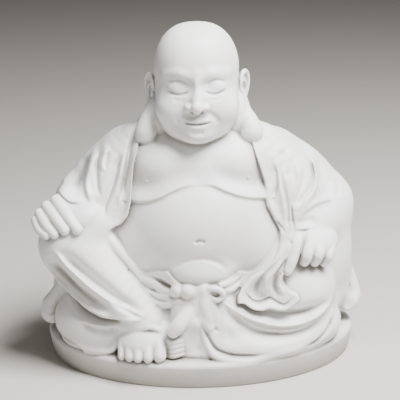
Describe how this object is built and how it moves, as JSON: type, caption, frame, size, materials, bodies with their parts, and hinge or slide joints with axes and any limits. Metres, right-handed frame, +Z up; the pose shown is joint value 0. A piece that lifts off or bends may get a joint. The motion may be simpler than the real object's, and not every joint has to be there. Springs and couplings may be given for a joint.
{
  "type": "budai figure",
  "caption": "Seated monk with a great bare belly, open robe, hands on the knees and long ear lobes, cast in one with a low oval base.",
  "frame": {"origin": "middle of the flat underside of the base", "axes": "+Z up, -Y the way the figure faces, +X to the right of someone looking at its face"},
  "size_m": [0.389, 0.2366, 0.405],
  "materials": {
    "cast_marble": "matte white cast marble dust, faintly soiled"
  },
  "bodies": {
    "root": {"budai_figure": "cast_marble"}
  },
  "joints": []
}
